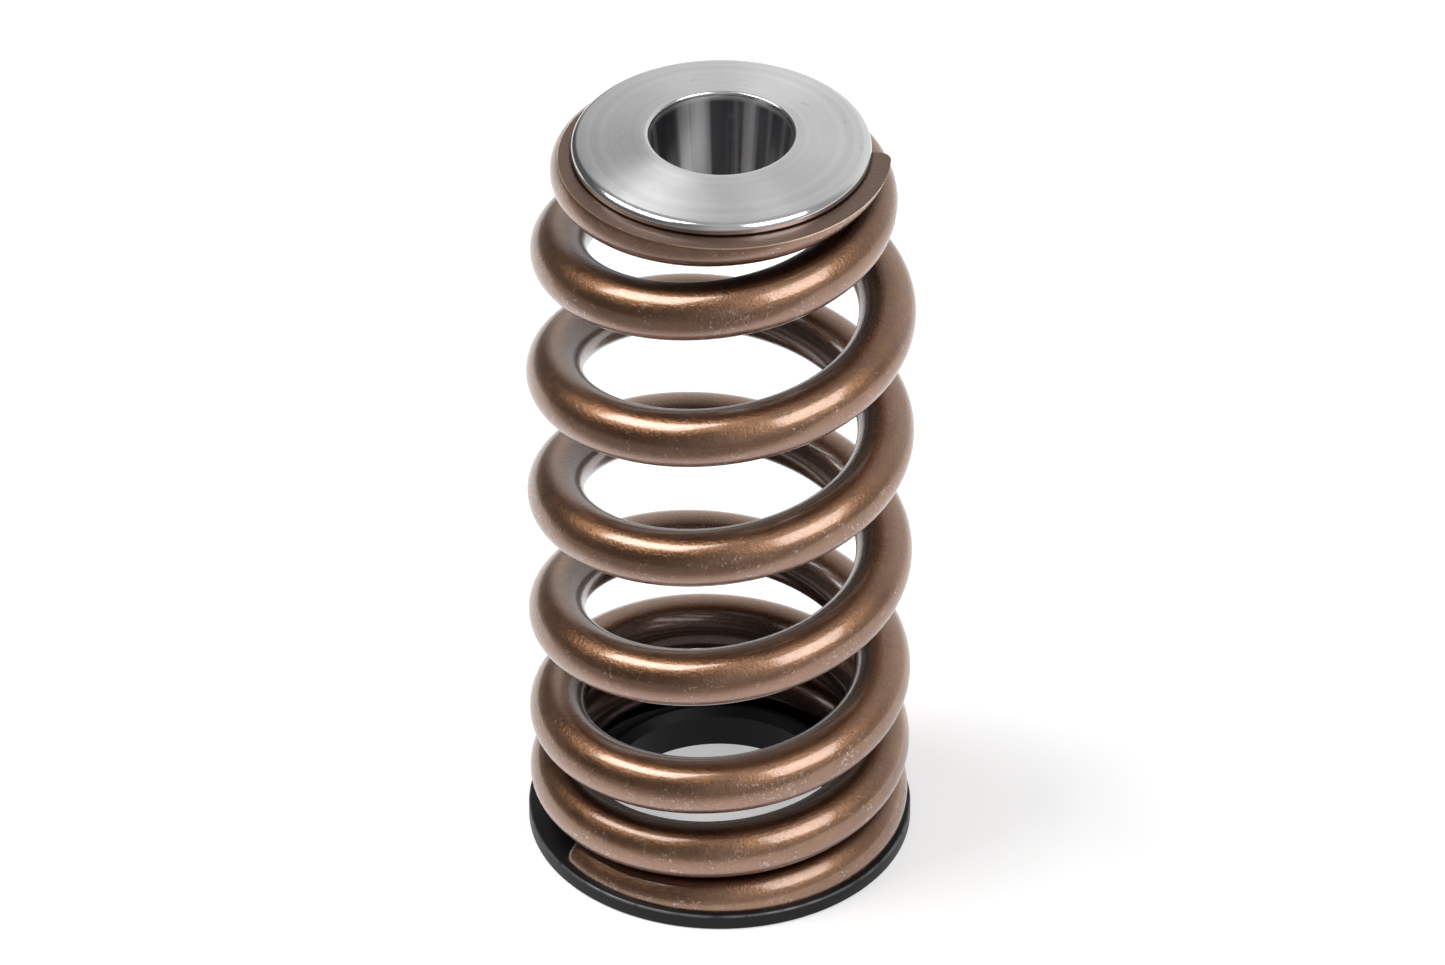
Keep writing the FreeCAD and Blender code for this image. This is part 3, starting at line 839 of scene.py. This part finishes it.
class MakeStudio(bpy.types.Operator):
    """Lay the floor, hang the lamps and set the camera"""

    bl_idname = "valve_spring.make_studio"
    bl_label = "Make Studio"

    LAMPS = (
        # name, direction from the spring, direction of the wide side, distance,
        # width, height, power
        ("left_box", (-0.50, 0.0, 0.86), (-0.34, 0.57, -0.22), 0.55, 0.38, 0.26, 2.4),
        ("right_box", (0.54, -0.50, 0.68), (0.54, 0.50, -0.06), 0.55, 0.34, 0.34, 1.7),
    )
    # The height that the lamps point at
    LAMP_AIM = 30.0 * MM
    # In the metal the floor is dim where it is far in front of the spring and
    # to the left. It is near up to the first distance and far from the second.
    NEAR_FULL = 15.0 * MM
    NEAR_FADE = 55.0 * MM
    # How much darker the far floor is in the metal, and how much of that the
    # near floor is spared
    FAR_SHADE = 0.60
    NEAR_EASE = 0.40
    # The floor's own glow, for the camera, and in the metal where it is near
    SEEN_GLOW = 0.36
    NEAR_GLOW = 0.48
    # How bright the room is that the metal mirrors: everywhere, more on the
    # right, more again behind there, in front, and overhead towards the front
    ROOM = 0.10
    ROOM_RIGHT = 0.27
    ROOM_BEHIND = 0.50
    ROOM_FRONT = 0.15
    ROOM_OVERHEAD = 0.20
    # How bright it is for surfaces that don't mirror
    ROOM_MATT = 0.28

    def execute(self, context):
        sizes = context.scene.studio_sizes
        self.make_floor(context, sizes)
        self.make_lamps(context, sizes)
        self.make_world(context)
        self.make_camera(context, sizes)
        context.scene.view_settings.view_transform = "Standard"
        return {"FINISHED"}

    def make_floor(self, context, sizes):
        """A white floor. It glows a little for the camera, and is dim in the
        metal where it is far in front of the spring and to the left."""
        count = 96
        angles = [2.0 * math.pi * step / count for step in range(count)]
        ring = [(sizes.floor_radius * math.cos(angle), sizes.floor_radius * math.sin(angle), 0.0)
                for angle in angles]
        mesh = bpy.data.meshes.new("floor")
        mesh.from_pydata(ring, [], [tuple(range(count))])
        made = bpy.data.objects.new("floor", mesh)
        context.scene.collection.objects.link(made)
        shader = Shader("white_floor")
        rays = shader.node("ShaderNodeLightPath")
        seen = shader.value(rays.outputs["Is Camera Ray"])
        mirrored = (shader.value(rays.outputs["Is Glossy Ray"])
                    + shader.value(rays.outputs["Is Transmission Ray"])).clamped()
        matt = shader.node("ShaderNodeBsdfDiffuse")
        across, depth, _ = shader.parts(shader.place)
        away = depth * -0.85 + across * -0.5
        near = 1.0 - shader.smooth(away, self.NEAR_FULL, self.NEAR_FADE)
        shade = mirrored * (self.FAR_SHADE - near * self.NEAR_EASE)
        tint = shader.mix(shade, sizes.floor_colour, (0.0, 0.0, 0.0))
        shader.feed(matt.inputs["Color"], tint)
        lift = shader.node("ShaderNodeEmission", inputs={
            "Color": (1.0, 1.0, 1.0, 1.0),
            "Strength": seen * self.SEEN_GLOW + mirrored * near * self.NEAR_GLOW})
        both = shader.node("ShaderNodeAddShader", inputs={0: matt.outputs[0], 1: lift.outputs[0]})
        shader.node("ShaderNodeOutputMaterial", inputs={"Surface": both.outputs[0]})
        mesh.materials.append(shader.material)

    def make_lamps(self, context, sizes):
        aim = Vector((0.0, 0.0, self.LAMP_AIM))
        for name, direction, wide_side, distance, width, height, power in self.LAMPS:
            data = bpy.data.lights.new(name, "AREA")
            data.shape = "RECTANGLE"
            data.size, data.size_y = width, height
            data.energy = power * sizes.lamp_strength
            lamp = bpy.data.objects.new(name, data)
            towards = Vector(direction).normalized()
            across = Vector(wide_side)
            across = (across - towards * across.dot(towards)).normalized()
            rows = zip(across, towards.cross(across), towards, aim + towards * distance)
            lamp.matrix_world = Matrix([tuple(row) for row in rows] + [(0.0, 0.0, 0.0, 1.0)])
            context.scene.collection.objects.link(lamp)

    def make_world(self, context):
        """White for the camera, a dim room in the metal, and even light elsewhere."""
        world = bpy.data.worlds.new("studio")
        context.scene.world = world
        world.use_nodes = True
        tree = Tree(world.node_tree)
        tree.tree.nodes.clear()
        direction = tree.node("ShaderNodeTexCoord").outputs["Generated"]
        x, y, z = tree.parts(direction)
        right = tree.smooth(x, -0.40, 0.05)
        back = tree.smooth(y, 0.0, 0.60) * (1.0 - tree.smooth(z, 0.45, 0.95) * 0.75)
        front = tree.smooth(-y, 0.50, 1.0)
        overhead = tree.smooth(z, 0.70, 0.97) * tree.smooth(y, 0.20, -0.20)
        room = self.ROOM + right * (self.ROOM_RIGHT + back * self.ROOM_BEHIND)
        room = room + front * self.ROOM_FRONT + overhead * self.ROOM_OVERHEAD
        rays = tree.node("ShaderNodeLightPath")
        seen = tree.value(rays.outputs["Is Camera Ray"])
        mirrored = tree.value(rays.outputs["Is Glossy Ray"])
        unseen = mirrored * room + (1.0 - mirrored) * self.ROOM_MATT
        strength = seen + (1.0 - seen) * unseen
        sky = tree.node("ShaderNodeBackground", inputs={
            "Color": (1.0, 1.0, 1.0, 1.0), "Strength": strength})
        tree.node("ShaderNodeOutputWorld", inputs={"Surface": sky.outputs[0]})

    def make_camera(self, context, sizes):
        elevation = sizes.camera_elevation
        aim = Vector((sizes.aim_x, 0.0, sizes.aim_height))
        back = Vector((0.0, -math.cos(elevation), math.sin(elevation)))
        right = Vector((1.0, 0.0, 0.0))
        up = back.cross(right)
        place = aim + back * sizes.camera_distance
        turned_right = right * math.cos(sizes.camera_roll) + up * math.sin(sizes.camera_roll)
        turned_up = up * math.cos(sizes.camera_roll) - right * math.sin(sizes.camera_roll)
        data = bpy.data.cameras.new("camera")
        data.sensor_width = SENSOR_MM
        data.lens = PHOTO_FOCAL_PIXELS * SENSOR_MM / PHOTO_WIDTH
        data.clip_start, data.clip_end = 0.01, 10.0
        camera = bpy.data.objects.new("camera", data)
        rows = [(*axis, offset) for axis, offset in zip(zip(turned_right, turned_up, back), place)]
        camera.matrix_world = Matrix(rows + [(0.0, 0.0, 0.0, 1.0)])
        context.scene.collection.objects.link(camera)
        context.scene.camera = camera


class SpringPanel(bpy.types.Panel):
    """The operators and sizes of the spring assembly"""

    bl_idname = "VIEW3D_PT_valve_spring"
    bl_label = "Valve Spring"
    bl_space_type = "VIEW_3D"
    bl_region_type = "UI"
    bl_category = "Valve Spring"

    def draw(self, context):
        scene = context.scene
        for operator, group in STEPS:
            box = self.layout.box()
            box.operator(operator.bl_idname)
            for name in getattr(scene, group).__annotations__:
                box.prop(getattr(scene, group), name)


STEPS = (
    (MakeSeat, "seat_sizes"),
    (MakeSpring, "spring_sizes"),
    (MakeRetainer, "retainer_sizes"),
    (MakeStudio, "studio_sizes"),
)
GROUPS = {
    "seat_sizes": SeatSizes,
    "spring_sizes": SpringSizes,
    "retainer_sizes": RetainerSizes,
    "studio_sizes": StudioSizes,
}


def register():
    for name, group in GROUPS.items():
        bpy.utils.register_class(group)
        setattr(bpy.types.Scene, name, PointerProperty(type=group))
    for operator, _ in STEPS:
        bpy.utils.register_class(operator)
    bpy.utils.register_class(SpringPanel)


def unregister():
    bpy.utils.unregister_class(SpringPanel)
    for operator, _ in reversed(STEPS):
        bpy.utils.unregister_class(operator)
    for name, group in GROUPS.items():
        delattr(bpy.types.Scene, name)
        bpy.utils.unregister_class(group)


def main():
    register()
    bpy.ops.valve_spring.make_seat()
    bpy.ops.valve_spring.make_spring()
    bpy.ops.valve_spring.make_retainer()
    bpy.ops.valve_spring.make_studio()


if __name__ == "__main__":
    main()
